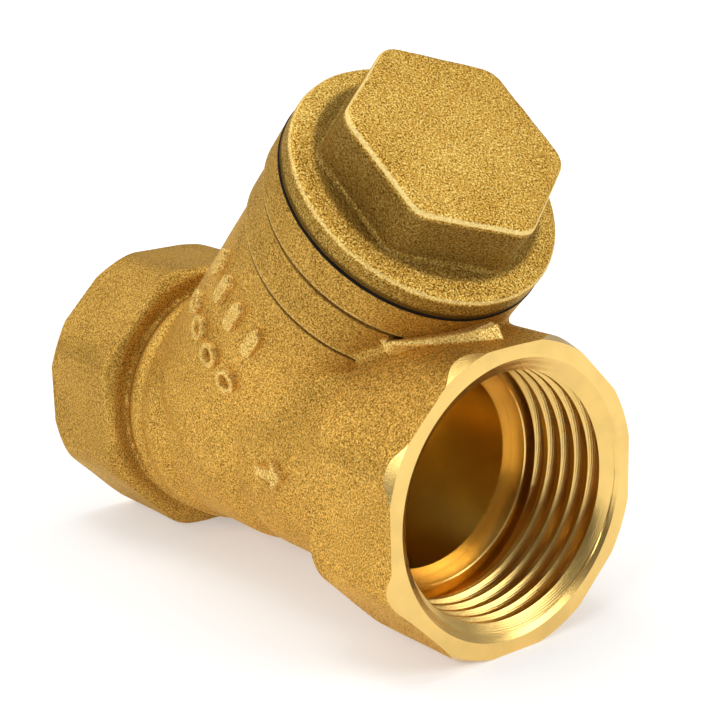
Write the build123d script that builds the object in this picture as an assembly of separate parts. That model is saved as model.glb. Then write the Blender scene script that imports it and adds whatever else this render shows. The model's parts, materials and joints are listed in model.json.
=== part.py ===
from build123d import *
import math
import os

# A compact brass y strainer with two female pipe ports, in millimetres.
# The pipe run lies along X. The inlet face is at x = 0, and the flow runs towards +X.
# The branch that holds the screen leans towards the outlet, in the XZ plane.

# Pipe run
RUN_LENGTH = 76.6
PRISM_ACROSS_FLATS = 37.4
PRISM_CORNER_ROUND = 6.0
PRISM_SIDES = 8
INLET_PRISM_LENGTH = 15.8
OUTLET_PRISM_LENGTH = 16.0
SKIM_FACE_RADIUS = 19.04
SKIM_LENGTH = 1.8
SKIM_BACK_RADIUS = 19.9
SHOULDER_RADIUS = 18.2
SHOULDER_LENGTH = 1.3
NECK_RADIUS = 15.9
NECK_SLOPE = 1.0
BEAD_START = 18.0
BEAD_END = 19.2
BEAD_RADIUS = 16.7
GROOVE_X = 20.2
GROOVE_RADIUS = 16.1
SECOND_BEAD_START = 21.4
SECOND_BEAD_END = 23.2
SECOND_BEAD_RADIUS = 16.5
WAIST_START = 25.3
WAIST_END = 37.0
WAIST_RADIUS = 15.6
VALLEY_X = 41.0
VALLEY_RADIUS = 14.8
OUTLET_TUBE_START = 42.5
OUTLET_TUBE_RADIUS = 15.3

# The two ports, with a G1 pipe thread drawn as a plain wall at its minor radius
PORT_THREAD_MINOR_RADIUS = 15.146
PORT_THREAD_MAJOR_RADIUS = 16.624
PORT_MOUTH_RADIUS = 17.0
PORT_MOUTH_DEPTH = 1.5
PORT_THREAD_END = 12.9
PORT_RELIEF_END = 13.5
PORT_RING_RADIUS = 14.2
PORT_RING_END = 16.1

# Branch. Distances along it are counted from the point where its axis crosses the pipe axis
BRANCH_CROSSING_X = 26.0
BRANCH_ANGLE = 45.0
BARREL_START = 2.0
BARREL_FOOT_ROUND = 1.2
BARREL_RADIUS = 16.4
RING_START = 34.9
RING_RADIUS = 16.95
COLLAR_START = 41.7
COLLAR_RADIUS = 17.5
SEAT_FACE = 46.8
SEAT_FACE_RADIUS = 17.2
STEP_SLOPE = 0.35

# Web between the branch collar and the top of the outlet grip
WEB_RADIUS = 19.3
WEB_START = 36.0
WEB_END = 46.4
WEB_TOP = 19.9
WEB_TOP_HALF_WIDTH = 6.0
WEB_EDGE = 16.4
WEB_HALF_WIDTH = 10.5

# Inside the branch
CHAMBER_RADIUS = 13.6
CHAMBER_FLOOR = 8.0
SCREEN_SEAT = 6.2
SCREEN_SEAT_RADIUS = 11.9
INLET_WALL = 5.0
SEAT_OPENING_RADIUS = 10.2
INLET_PASSAGE_RADIUS = 11.2
OUTLET_PASSAGE_RADIUS = 12.8
OUTLET_PASSAGE_START = 40.3
CAP_THREAD_START = 38.0
CAP_RELIEF_START = 36.6
CAP_RELIEF_RADIUS = 15.15

# The cap thread is M30 x 1.5, drawn as plain walls at its pitch line with a running clearance
CAP_THREAD_WALL_RADIUS = 14.55
CAP_THREAD_CLEARANCE = 0.07
CAP_MOUTH_RADIUS = 15.3

# Cap gasket
GASKET_THICKNESS = 0.55
GASKET_OUTER_RADIUS = 17.1
GASKET_INNER_RADIUS = 15.1

# Cap
FLANGE_RADIUS = 17.4
FLANGE_TOP = 50.7
FLANGE_EDGE_ROUND = 0.6
HEX_ACROSS_FLATS = 25.0
HEX_TOP = 58.3
HEX_TURN = 38.6
HEX_SIDES = 6
HEX_CORNER_ROUND = 2.2
HEX_EDGE_ROUND = 0.4
SKIRT_END = 38.3
SKIRT_UNDERCUT_RADIUS = 13.9
SKIRT_UNDERCUT_LENGTH = 1.0
SKIRT_TIP_CHAMFER = 0.7
POCKET_RADIUS = 12.1
POCKET_LEDGE = 48.5
POCKET_CORE_RADIUS = 9.5
POCKET_CORE_END = 53.5
POCKET_CONE_HEIGHT = 2.85

# Screen cartridge
SLEEVE_OUTER_RADIUS = 11.6
SLEEVE_WALL = 0.45
SLEEVE_LAP_WALL = 0.2
SLEEVE_LAP_DEGREES = 24.0
SLEEVE_HOLE_RADIUS = 1.1
SLEEVE_HOLES_AROUND = 20
SLEEVE_HOLE_ROWS = 12
SLEEVE_SEAM_ANGLE = 90.0
SLEEVE_SEAM_MARGIN = 8.0
LINER_GAP = 0.05
LINER_WALL = 0.25
RIM_OUTER_RADIUS = 11.8
RIM_INNER_RADIUS = 10.45
RIM_HEIGHT = 2.6
RIM_FLOOR = 0.5
SCREEN_TOP = 48.2

# Raised marks on the casting
MARK_HEIGHT = 0.55
MARK_ROOT = 1.0
ARROW_X = 46.6
ARROW_TAIL_LENGTH = 3.2
ARROW_TAIL_WIDTH = 1.7
ARROW_HEAD_LENGTH = 2.4
ARROW_HEAD_WIDTH = 4.4
PIP_ROWS = (26.8, 18.4)
PIP_ANGLES = (-13.0, 1.0, 15.0, 29.0)
PIP_LENGTH = 4.6
PIP_WIDTH = 1.5
PIP_RADIUS = 1.4

# How far cutting shapes run past a face, and how far joined shapes reach into each other
OVERRUN = 5.0
OVERLAP = 1.0
BRANCH_DIRECTION = (math.cos(math.radians(BRANCH_ANGLE)), 0, math.sin(math.radians(BRANCH_ANGLE)))
RUN = Plane(origin=(0, 0, 0), x_dir=(0, 1, 0), z_dir=(1, 0, 0))
BRANCH = Plane(origin=(BRANCH_CROSSING_X, 0, 0), x_dir=(0, 1, 0), z_dir=BRANCH_DIRECTION)


def turned(place, outline):
    """A solid of revolution about the plane's normal, from (radius, distance along the axis) points."""
    points = [(radius, 0, along) for radius, along in outline]
    return place * revolve(make_face(Polyline(*points, close=True)), Axis.Z)


def turned_bar(place, radius, start, end):
    """A plain round bar about the plane's normal."""
    return turned(place, [(0, start), (radius, start), (radius, end), (0, end)])


def turned_tube(place, inner, outer, start, end):
    """A plain round tube about the plane's normal."""
    return turned(place, [(inner, start), (outer, start), (outer, end), (inner, end)])


def from_outlet(points):
    """The same outline measured back from the outlet face."""
    return [(radius, RUN_LENGTH - along) for radius, along in points]


def port_prism(length):
    """One eight-sided spanner grip, from its port face at zero inwards, as a solid along Z."""
    outline = RegularPolygon(PRISM_ACROSS_FLATS / 2, PRISM_SIDES, major_radius=False,
                             rotation=180 / PRISM_SIDES)
    outline = fillet(outline.vertices(), PRISM_CORNER_ROUND)
    envelope = turned(Plane.XY, [
        (0, 0),
        (SKIM_FACE_RADIUS, 0),
        (SKIM_BACK_RADIUS, SKIM_LENGTH),
        (SKIM_BACK_RADIUS, length - SHOULDER_LENGTH),
        (SHOULDER_RADIUS, length),
        (0, length),
    ])
    return extrude(outline, length) & envelope


def run_casting():
    """The outside of the pipe run: two grips, the beaded inlet neck and the outlet tube."""
    start = INLET_PRISM_LENGTH / 2
    end = RUN_LENGTH - OUTLET_PRISM_LENGTH / 2
    outside = turned(RUN, [
        (0, start),
        (NECK_RADIUS, start),
        (NECK_RADIUS, BEAD_START - NECK_SLOPE),
        (BEAD_RADIUS, BEAD_START),
        (BEAD_RADIUS, BEAD_END),
        (GROOVE_RADIUS, GROOVE_X),
        (SECOND_BEAD_RADIUS, SECOND_BEAD_START),
        (SECOND_BEAD_RADIUS, SECOND_BEAD_END),
        (WAIST_RADIUS, WAIST_START),
        (WAIST_RADIUS, WAIST_END),
        (VALLEY_RADIUS, VALLEY_X),
        (OUTLET_TUBE_RADIUS, OUTLET_TUBE_START),
        (OUTLET_TUBE_RADIUS, end),
        (0, end),
    ])
    inlet_grip = RUN * port_prism(INLET_PRISM_LENGTH)
    outlet_end = Plane(origin=(RUN_LENGTH, 0, 0), x_dir=(0, 1, 0), z_dir=(-1, 0, 0))
    outlet_grip = outlet_end * port_prism(OUTLET_PRISM_LENGTH)
    return outside + inlet_grip + outlet_grip


def branch_casting():
    """The outside of the branch: the barrel, two stepped rings and the cap's sealing face."""
    return turned(BRANCH, [
        (0, BARREL_START),
        (BARREL_RADIUS - BARREL_FOOT_ROUND, BARREL_START),
        (BARREL_RADIUS, BARREL_START + BARREL_FOOT_ROUND),
        (BARREL_RADIUS, RING_START),
        (RING_RADIUS, RING_START + STEP_SLOPE),
        (RING_RADIUS, COLLAR_START),
        (COLLAR_RADIUS, COLLAR_START + STEP_SLOPE),
        (COLLAR_RADIUS, SEAT_FACE - STEP_SLOPE),
        (SEAT_FACE_RADIUS, SEAT_FACE),
        (0, SEAT_FACE),
    ])


def branch_web():
    """The web that fills the narrow notch between the branch collar and the outlet grip."""
    boss = turned_bar(BRANCH, WEB_RADIUS, WEB_START, WEB_END)
    roof = make_face(Polyline(
        (-WEB_HALF_WIDTH, 0),
        (WEB_HALF_WIDTH, 0),
        (WEB_HALF_WIDTH, WEB_EDGE),
        (WEB_TOP_HALF_WIDTH, WEB_TOP),
        (-WEB_TOP_HALF_WIDTH, WEB_TOP),
        (-WEB_HALF_WIDTH, WEB_EDGE),
        close=True,
    ))
    return boss & extrude(Plane.YZ * roof, RUN_LENGTH)


def flow_arrow(side):
    """A short raised arrow that points along the flow, on one side of the outlet tube."""
    head = ARROW_X + ARROW_TAIL_LENGTH
    half_tail = ARROW_TAIL_WIDTH / 2
    half_head = ARROW_HEAD_WIDTH / 2
    outline = make_face(Polyline(
        (ARROW_X, -half_tail),
        (head, -half_tail),
        (head, -half_head),
        (head + ARROW_HEAD_LENGTH, 0),
        (head, half_head),
        (head, half_tail),
        (ARROW_X, half_tail),
        close=True,
    ))
    plane = Plane(origin=(0, side * (OUTLET_TUBE_RADIUS - MARK_ROOT), 0), x_dir=(1, 0, 0),
                  z_dir=(0, side, 0))
    return extrude(plane * outline, MARK_ROOT + MARK_HEIGHT)


def casting_pips():
    """Two rows of plain raised marks round the front of the barrel: bars above, round pips below."""
    solids = []
    for row, along in enumerate(PIP_ROWS):
        for angle in PIP_ANGLES:
            turn = math.radians(angle)
            centre = Vector(-math.cos(turn), math.sin(turn), 0)
            local = Plane(origin=(centre.X * (BARREL_RADIUS - MARK_ROOT),
                                  centre.Y * (BARREL_RADIUS - MARK_ROOT), along),
                          x_dir=(0, 0, 1), z_dir=tuple(centre))
            if row == 0:
                outline = SlotOverall(PIP_LENGTH, PIP_WIDTH)
            else:
                outline = Circle(PIP_RADIUS)
            solids.append(BRANCH * extrude(local * outline, MARK_ROOT + MARK_HEIGHT))
    return solids


def port_bore(measured):
    """One port's machined inside: mouth chamfer, thread wall, relief and plain ring."""
    return turned(RUN, measured([
        (0, -OVERRUN),
        (PORT_MOUTH_RADIUS, -OVERRUN),
        (PORT_MOUTH_RADIUS, 0),
        (PORT_THREAD_MINOR_RADIUS, PORT_MOUTH_DEPTH),
        (PORT_THREAD_MINOR_RADIUS, PORT_THREAD_END),
        (PORT_THREAD_MAJOR_RADIUS, PORT_THREAD_END),
        (PORT_THREAD_MAJOR_RADIUS, PORT_RELIEF_END),
        (PORT_RING_RADIUS, PORT_RELIEF_END),
        (PORT_RING_RADIUS, PORT_RING_END),
        (0, PORT_RING_END),
    ]))


def branch_bore():
    """The branch's machined inside: cap thread, relief, screen chamber and screen seat."""
    return turned(BRANCH, [
        (0, INLET_WALL - OVERRUN / 2),
        (SEAT_OPENING_RADIUS, INLET_WALL - OVERRUN / 2),
        (SEAT_OPENING_RADIUS, SCREEN_SEAT),
        (SCREEN_SEAT_RADIUS, SCREEN_SEAT),
        (SCREEN_SEAT_RADIUS, CHAMBER_FLOOR),
        (CHAMBER_RADIUS, CHAMBER_FLOOR),
        (CHAMBER_RADIUS, CAP_RELIEF_START),
        (CAP_RELIEF_RADIUS, CAP_RELIEF_START),
        (CAP_RELIEF_RADIUS, CAP_THREAD_START),
        (CAP_THREAD_WALL_RADIUS, CAP_THREAD_START),
        (CAP_THREAD_WALL_RADIUS, SEAT_FACE - (CAP_MOUTH_RADIUS - CAP_THREAD_WALL_RADIUS)),
        (CAP_MOUTH_RADIUS, SEAT_FACE),
        (CAP_MOUTH_RADIUS, SEAT_FACE + OVERRUN),
        (0, SEAT_FACE + OVERRUN),
    ])


def side_of_wall(start, end):
    """A large slab square to the branch axis, for keeping one side of the screen wall."""
    reach = 2 * RUN_LENGTH
    return BRANCH * (Pos(0, 0, (start + end) / 2) * Box(reach, reach, end - start))


def inlet_passage():
    """From the inlet port up to the underside of the sloping wall that the screen stands on."""
    bar = turned_bar(RUN, INLET_PASSAGE_RADIUS, PORT_RING_END - OVERLAP, RUN_LENGTH)
    return bar & side_of_wall(INLET_WALL - 2 * RUN_LENGTH, INLET_WALL)


def outlet_passage():
    """From the screen chamber above the sloping wall out to the outlet port."""
    bar = turned_bar(RUN, OUTLET_PASSAGE_RADIUS, OUTLET_PASSAGE_START,
                     RUN_LENGTH - PORT_RING_END + OVERLAP)
    return bar & side_of_wall(CHAMBER_FLOOR, CHAMBER_FLOOR + 2 * RUN_LENGTH)


def valve_body():
    body = run_casting() + branch_casting() + branch_web()
    body += [flow_arrow(1), flow_arrow(-1)]
    body += casting_pips()
    body -= port_bore(list)
    body -= port_bore(from_outlet)
    body -= branch_bore()
    body -= inlet_passage()
    body -= outlet_passage()
    return body


def cap():
    """Hexagon, flange and threaded skirt in one forging, with a pocket for the screen's top."""
    skirt_radius = CAP_THREAD_WALL_RADIUS - CAP_THREAD_CLEARANCE
    flange_under = SEAT_FACE + GASKET_THICKNESS
    base = turned(BRANCH, [
        (POCKET_RADIUS, SKIRT_END),
        (skirt_radius - SKIRT_TIP_CHAMFER, SKIRT_END),
        (skirt_radius, SKIRT_END + SKIRT_TIP_CHAMFER),
        (skirt_radius, flange_under - SKIRT_UNDERCUT_LENGTH),
        (SKIRT_UNDERCUT_RADIUS, flange_under - SKIRT_UNDERCUT_LENGTH),
        (SKIRT_UNDERCUT_RADIUS, flange_under),
        (FLANGE_RADIUS, flange_under),
        (FLANGE_RADIUS, FLANGE_TOP),
        (0, FLANGE_TOP),
        (0, POCKET_LEDGE),
        (POCKET_RADIUS, POCKET_LEDGE),
    ])
    rim = base.edges().filter_by(GeomType.CIRCLE)
    rim = [edge for edge in rim if abs(edge.radius - FLANGE_RADIUS) < 0.01]
    top_edge = max(rim, key=lambda edge: edge.center().Z)
    base = fillet(top_edge, FLANGE_EDGE_ROUND)
    outline = RegularPolygon(HEX_ACROSS_FLATS / 2, HEX_SIDES, major_radius=False, rotation=HEX_TURN)
    outline = fillet(outline.vertices(), HEX_CORNER_ROUND)
    hexagon = extrude(outline, HEX_TOP - FLANGE_TOP + OVERLAP)
    hexagon = fillet(hexagon.faces().sort_by(Axis.Z)[-1].edges(), HEX_EDGE_ROUND)
    hexagon = BRANCH * (Pos(0, 0, FLANGE_TOP - OVERLAP) * hexagon)
    core = turned(BRANCH, [
        (0, POCKET_LEDGE - OVERLAP),
        (POCKET_CORE_RADIUS, POCKET_LEDGE - OVERLAP),
        (POCKET_CORE_RADIUS, POCKET_CORE_END),
        (0, POCKET_CORE_END + POCKET_CONE_HEIGHT),
    ])
    return base + hexagon - core


def cap_gasket():
    return turned_tube(BRANCH, GASKET_INNER_RADIUS, GASKET_OUTER_RADIUS, SEAT_FACE,
                       SEAT_FACE + GASKET_THICKNESS)


def screen_sleeve():
    """Perforated sheet rolled into a tube, with its lapped seam facing the top of the branch."""
    start = SCREEN_SEAT + RIM_FLOOR
    end = SCREEN_TOP - RIM_FLOOR
    inner = SLEEVE_OUTER_RADIUS - SLEEVE_WALL
    tube = turned_tube(BRANCH, inner, SLEEVE_OUTER_RADIUS, start, end)
    lap_start = start + RIM_HEIGHT
    lap_end = end - RIM_HEIGHT
    section = make_face(Polyline(
        (SLEEVE_OUTER_RADIUS - SLEEVE_WALL / 2, 0, lap_start),
        (SLEEVE_OUTER_RADIUS + SLEEVE_LAP_WALL, 0, lap_start),
        (SLEEVE_OUTER_RADIUS + SLEEVE_LAP_WALL, 0, lap_end),
        (SLEEVE_OUTER_RADIUS - SLEEVE_WALL / 2, 0, lap_end),
        close=True,
    ))
    seam = Rot(0, 0, SLEEVE_SEAM_ANGLE - SLEEVE_LAP_DEGREES / 2)
    lap = BRANCH * (seam * revolve(section, Axis.Z, SLEEVE_LAP_DEGREES))
    punch = extrude(Circle(SLEEVE_HOLE_RADIUS), SLEEVE_WALL + 2 * OVERLAP)
    holes = []
    row_pitch = (lap_end - lap_start) / SLEEVE_HOLE_ROWS
    hole_pitch = 360 / SLEEVE_HOLES_AROUND
    for row in range(SLEEVE_HOLE_ROWS):
        along = lap_start + row_pitch * (row + 0.5)
        for place in range(SLEEVE_HOLES_AROUND):
            from_seam = hole_pitch * (place + 0.5 + (row % 2) / 2)
            nearest = min(from_seam, abs(360 - from_seam))
            if nearest < SLEEVE_LAP_DEGREES / 2 + SLEEVE_SEAM_MARGIN:
                continue
            turn = Rot(0, 0, SLEEVE_SEAM_ANGLE + from_seam)
            holes.append(BRANCH * (turn * Pos(inner - OVERLAP, 0, along) * Rot(0, 90, 0) * punch))
    return tube + lap - holes


def screen_liner():
    """The fine woven mesh inside the sleeve, as a thin closed tube."""
    outer = SLEEVE_OUTER_RADIUS - SLEEVE_WALL - LINER_GAP
    return turned_tube(BRANCH, outer - LINER_WALL, outer, SCREEN_SEAT + RIM_FLOOR,
                       SCREEN_TOP - RIM_FLOOR)


def screen_rim(closed_end, direction):
    """A folded ring that closes over one end of the sleeve and the liner."""
    floor = closed_end + direction * RIM_FLOOR
    lip = closed_end + direction * RIM_HEIGHT
    liner_inner = SLEEVE_OUTER_RADIUS - SLEEVE_WALL - LINER_GAP - LINER_WALL
    return turned(BRANCH, [
        (RIM_INNER_RADIUS, closed_end),
        (RIM_OUTER_RADIUS, closed_end),
        (RIM_OUTER_RADIUS, lip),
        (SLEEVE_OUTER_RADIUS, lip),
        (SLEEVE_OUTER_RADIUS, floor),
        (liner_inner, floor),
        (liner_inner, lip),
        (RIM_INNER_RADIUS, lip),
    ])


os.makedirs("parts", exist_ok=True)
parts = {
    "valve_body": valve_body(),
    "cap": cap(),
    "cap_gasket": cap_gasket(),
    "screen_sleeve": screen_sleeve(),
    "screen_liner": screen_liner(),
    "screen_lower_rim": screen_rim(SCREEN_SEAT, 1),
    "screen_upper_rim": screen_rim(SCREEN_TOP, -1),
}
for name, solid in parts.items():
    export_step(solid, f"parts/{name}.step")
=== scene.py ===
import json
import math

import bpy
import numpy as np
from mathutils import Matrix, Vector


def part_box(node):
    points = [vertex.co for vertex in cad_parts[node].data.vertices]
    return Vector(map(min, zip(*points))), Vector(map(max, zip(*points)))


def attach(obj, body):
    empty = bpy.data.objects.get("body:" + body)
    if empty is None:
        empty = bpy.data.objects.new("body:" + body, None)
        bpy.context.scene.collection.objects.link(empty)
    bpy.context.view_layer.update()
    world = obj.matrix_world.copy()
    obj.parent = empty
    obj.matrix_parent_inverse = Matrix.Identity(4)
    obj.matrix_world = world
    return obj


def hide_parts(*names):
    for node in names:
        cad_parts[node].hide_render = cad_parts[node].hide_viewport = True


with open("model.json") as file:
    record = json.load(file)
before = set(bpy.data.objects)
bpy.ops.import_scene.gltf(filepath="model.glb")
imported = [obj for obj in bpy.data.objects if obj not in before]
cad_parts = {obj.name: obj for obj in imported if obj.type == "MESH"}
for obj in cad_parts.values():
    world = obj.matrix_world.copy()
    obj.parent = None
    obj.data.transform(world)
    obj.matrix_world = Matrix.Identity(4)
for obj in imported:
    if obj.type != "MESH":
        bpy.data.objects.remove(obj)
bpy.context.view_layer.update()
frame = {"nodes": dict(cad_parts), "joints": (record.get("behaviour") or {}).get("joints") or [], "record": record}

import openvdb
from mathutils import Matrix, Vector

# Shapes are worked out in millimetres in the model's own frame, and become metres in make_piece().
MM = 0.001

# ---------------------------------------- sizes taken from the frame
body_low, body_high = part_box("valve_body")
joint = {j["name"]: j for j in frame["joints"]}
RUN_LENGTH = (body_high.x - body_low.x) / MM
APOTHEM = (body_high.y - body_low.y) / MM / 2
CROSSING = joint["cap_turn"]["pos_m"][0] / MM
CAP_PITCH = frame["record"]["behaviour"]["couplings"][0]["ratio"] * 2 * math.pi / MM

# ---------------------------------------- pipe run, millimetres
PRISM_ROUND = 6.0
PRISM_TRIM = 0.06
PRISM_LENGTH = 16.0
PRISM_EDGE = 0.8
SHOULDER_RADIUS = 18.2
SHOULDER_LENGTH = 1.3
SHOULDER_OUTER = 19.9
NECK = [(7.0, 15.9), (17.0, 15.9), (18.0, 16.7), (19.2, 16.7), (20.2, 16.1), (21.4, 16.5), (23.2, 16.5),
        (25.3, 15.6), (37.0, 15.6), (40.4, 14.75), (41.4, 14.75), (42.6, 15.3), (70.0, 15.3)]
NECK_SOFTENING = 0.45
NECK_INSET = 8.0
SHOULDER_EDGE = 0.3
INLET_FILLET = 0.5
OUTLET_FILLET = 1.0
SLOPE_SHARE = 0.95
BODY_RIPPLE = {"seed": 3, "size": 9.0, "height": 0.08}

# ---------------------------------------- branch, along its own axis
BARREL_START = 2.0
BARREL_FOOT = 2.6
SEAT_FACE = 46.8
BARREL = [(0.0, 16.4), (34.95, 16.4), (35.2, 16.95), (41.8, 16.95), (42.05, 17.5), (46.0, 17.5),
          (46.6, 17.38), (60.0, 17.38)]
BARREL_SOFTENING = 0.14
BARREL_FILLET = 1.2
OUTLET_SIDE_FILLET = 3.0
OUTLET_SIDE_START = 42.0
OUTLET_SIDE_LENGTH = 12.0
OUTLET_SIDE_TOP = 14.5
OUTLET_SIDE_HEIGHT = 4.0
CREASES = [(35.04, 16.45), (41.9, 17.0)]
CREASE_DEPTH = 0.45
CREASE_HALF_WIDTH = 0.3
CREASE_STOP = 0.3
RAW_STOCK = 1.0
WEB_START = 40.0
WEB_RADIUS = 20.4
WEB_SKEW = 0.2
WEB_FOOT = 18.7
WEB_LEAN = 1.1
WEB_TOP = 20.3
WEB_FALL = 0.13
WEB_LEFT = -9.8
WEB_RIGHT = 1.0
WEB_DEPTH = 4.0
WEB_FRONT_EDGE = 0.2
WEB_TOP_EDGE = 0.25
WEB_END_EDGE = 0.5
WEB_RIPPLE = {"seed": 8, "size": 2.5, "height": 0.07}

# ---------------------------------------- raised marks
MARK_HEIGHT = 0.8
MARK_DEPTH = 0.6
MARK_DRAFT = 0.2
MARK_EDGE = 0.18
MARK_STEP = 0.17
ARROW_START = 46.6
ARROW_HEAD = 49.8
ARROW_TIP = 52.3
ARROW_OVERLAP = 1.0
ARROW_HALF_TAIL = 0.8
ARROW_HALF_HEAD = 2.2
MARK_ROWS = (26.8, 18.4)
MARK_ANGLES = (-13.0, 1.0, 15.0, 29.0)
BAR_HALF_LENGTH = 1.5
BAR_RADIUS = 1.0
PIP_RADIUS = 1.7
PIP_HOLLOW = 0.75

# ---------------------------------------- machining
FACE_RADIUS = 19.04
SKIM_SLOPE = 0.478
SKIM_WIDTH = 1.3
MOUTH_RADIUS = 17.0
MOUTH_DEPTH = 1.5
PORT_PITCH = 2.309
PORT_MINOR = 15.146
PORT_MAJOR = 16.624
PORT_THREAD_END = 12.9
PORT_THREAD_FADE = 0.2
PORT_RELIEF_RADIUS = PORT_MAJOR + 0.05
PORT_RELIEF_END = 13.5
PORT_RING_RADIUS = 14.2
PORT_RING_EDGE = 0.15
PORT_RING_END = 16.1
PORT_ROD_OVERLAP = 0.12
PASSAGE_START = 15.0
INLET_PASSAGE_RADIUS = 11.2
INLET_PASSAGE_END = 60.0
OUTLET_PASSAGE_RADIUS = 12.8
OUTLET_PASSAGE_END = RUN_LENGTH - 40.3
WALL_UNDER = 5.0
WALL_TOP = 8.0
OPENING_RADIUS = 10.2
OPENING_START = 3.0
FOOT_RADIUS = 11.9
FOOT_SEAT = 6.2
CHAMBER_RADIUS = 13.6
CHAMBER_END = 36.6
CAP_RELIEF_RADIUS = 15.15
CAP_RELIEF_END = 38.0
CAP_MAJOR = 15.0
CAP_MINOR = 14.19
CAP_MOUTH_START = 45.7
CAP_MOUTH_RADIUS = 15.3
CAP_CLEARANCE = 0.06
CAP_THREAD_START = 37.5
CAP_ROD_OVERLAP = 0.1
SEAT_RIM_RADIUS = 17.42
SEAT_RIM_EDGE = 0.08

# ---------------------------------------- cap
GASKET_OUTER = 17.52
GASKET_INNER = 15.1
GASKET_THICKNESS = 0.55
FLANGE_UNDER = SEAT_FACE + GASKET_THICKNESS
FLANGE_RADIUS = 17.4
FLANGE_TOP = 50.95
FLANGE_FALL = 0.13
FLANGE_EDGE = 0.8
FLANGE_FILLET = 0.35
HEX_APOTHEM = 12.5
HEX_ROUND = 3.1
HEX_TURN = 8.6
HEX_TOP = 58.3
HEX_EDGE = 1.0
HEX_STEP = 0.15
HEX_STEP_TOP = 51.1
HEX_STEP_EDGE = 0.3
HEX_STEP_FILLET = 0.25
CAP_RIPPLE = {"seed": 5, "size": 6.0, "height": 0.06}
SKIRT_END = 38.3
SKIRT_LEAD = 1.0
SKIRT_MINOR = CAP_MINOR - 0.12
SKIRT_LEAD_RADIUS = SKIRT_MINOR - 0.3
UNDERCUT_RADIUS = SKIRT_MINOR - 0.1
UNDERCUT_START = FLANGE_UNDER - 1.1
UNDERCUT_FULL = FLANGE_UNDER - 1.0
SKIRT_TOP = FLANGE_UNDER + 1.5
POCKET_RADIUS = 12.1
POCKET_TOP = 48.5
RECESS_RADIUS = 9.5
RECESS_TOP = 53.5
RECESS_PEAK = 56.35

# ---------------------------------------- screen
SLEEVE_OUTER = 11.6
SLEEVE_INNER = 11.15
SLEEVE_START = 6.7
SLEEVE_END = 47.7
SLEEVE_ROWS_START = 9.3
SLEEVE_ROWS_END = 45.1
SLEEVE_ROWS = 22
SLEEVE_COLUMNS = 40
SLEEVE_HOLE = 0.6
SEAM_TURN = math.radians(90)
SEAM_HALF_WIDTH = math.radians(12)
LAP_WALL = 0.2
LAP_INSET = 0.1
LINER_RADIUS = 10.975
LINER_START = 6.8
LINER_END = 47.6
LINER_HOOPS = 62
LINER_WIRES = 100
WIRE_RADIUS = 0.06
WIRE_SWING = 0.06

GRID_STEP = 0.5
CAP_STEP = 0.25


# ======================================== placing
def placed(origin, p_axis, q_axis, s_axis):
    """A matrix from a feature's own coordinates, with s along its axis, to the model's frame."""
    columns = (Vector(p_axis), Vector(q_axis), Vector(s_axis), Vector(origin))
    return Matrix([[column[row] for column in columns] for row in range(3)] + [[0, 0, 0, 1]])


HALF = math.sqrt(0.5)
INLET = placed((0, 0, 0), (0, 1, 0), (0, 0, 1), (1, 0, 0))
OUTLET = placed((RUN_LENGTH, 0, 0), (0, -1, 0), (0, 0, 1), (-1, 0, 0))
BRANCH = placed((CROSSING, 0, 0), (0, 1, 0), (-HALF, 0, HALF), (HALF, 0, HALF))


def branch_coordinates(x, z):
    """How far up the branch a point is, and how far it is above the branch axis."""
    return (x - CROSSING + z) * HALF, (z - x + CROSSING) * HALF


# ======================================== distance fields
def softened(points, width):
    """A radius that follows straight stretches with its corners softened over the given width."""
    step = 0.02
    along = np.arange(points[0][0], points[-1][0], step)
    radius = np.interp(along, *zip(*points))
    reach = np.arange(-3 * width, 3 * width + step, step)
    weight = np.exp(-0.5 * (reach / width) ** 2)
    padded = np.pad(radius, len(reach) // 2, mode="edge")
    smooth = np.convolve(padded, weight / weight.sum(), mode="valid")[:len(along)]
    return lambda s: np.interp(s, along, smooth)


def join(a, b, width):
    """Two shapes in one, with a fillet of about that width between them."""
    h = np.clip(0.5 + 0.5 * (b - a) / width, 0, 1)
    return b + (a - b) * h - width * h * (1 - h)


def keep(a, b, width):
    """What two shapes share, with the edge between them rounded."""
    return -join(-a, -b, width)


def polygon(p, q, apothem, sides, turn):
    """Distance to a regular polygon whose flats stand at the given turn, outside and inside."""
    sector = 2 * math.pi / sides
    angle = np.arctan2(q, p) - turn
    angle = angle - sector * np.round(angle / sector)
    radius = np.hypot(p, q)
    across = radius * np.cos(angle) - apothem
    aside = np.maximum(np.abs(radius * np.sin(angle)) - apothem * math.tan(sector / 2), 0)
    return np.where(across > 0, np.hypot(across, aside), across)


def ripple(x, y, z, seed, size, height):
    """Gentle forging waviness: a fixed sum of sine waves in many directions."""
    chance = np.random.default_rng(seed)
    total = 0
    count = 9
    for _ in range(count):
        way = chance.normal(size=3)
        way *= 2 * math.pi / size / np.linalg.norm(way) * chance.uniform(0.6, 1.6)
        total = total + np.sin(x * way[0] + y * way[1] + z * way[2] + chance.uniform(0, 6.28))
    return total * height / count


neck_radius = softened(NECK, NECK_SOFTENING)
barrel_radius = softened(BARREL, BARREL_SOFTENING)


def grip_field(from_face, y, z):
    """One eight-sided spanner grip, measured from its port face, with raw stock beyond the face."""
    sides = polygon(y, z, APOTHEM - PRISM_TRIM - PRISM_ROUND, 8, 0.0) - PRISM_ROUND
    length = np.maximum(from_face - PRISM_LENGTH, -RAW_STOCK - from_face)
    grip = keep(sides, length, PRISM_EDGE)
    lean = (SHOULDER_OUTER - SHOULDER_RADIUS) / SHOULDER_LENGTH
    limit = SHOULDER_RADIUS + lean * (PRISM_LENGTH - from_face)
    shoulder = (np.hypot(y, z) - limit) / math.hypot(1, lean)
    return keep(grip, shoulder, SHOULDER_EDGE)


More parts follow.
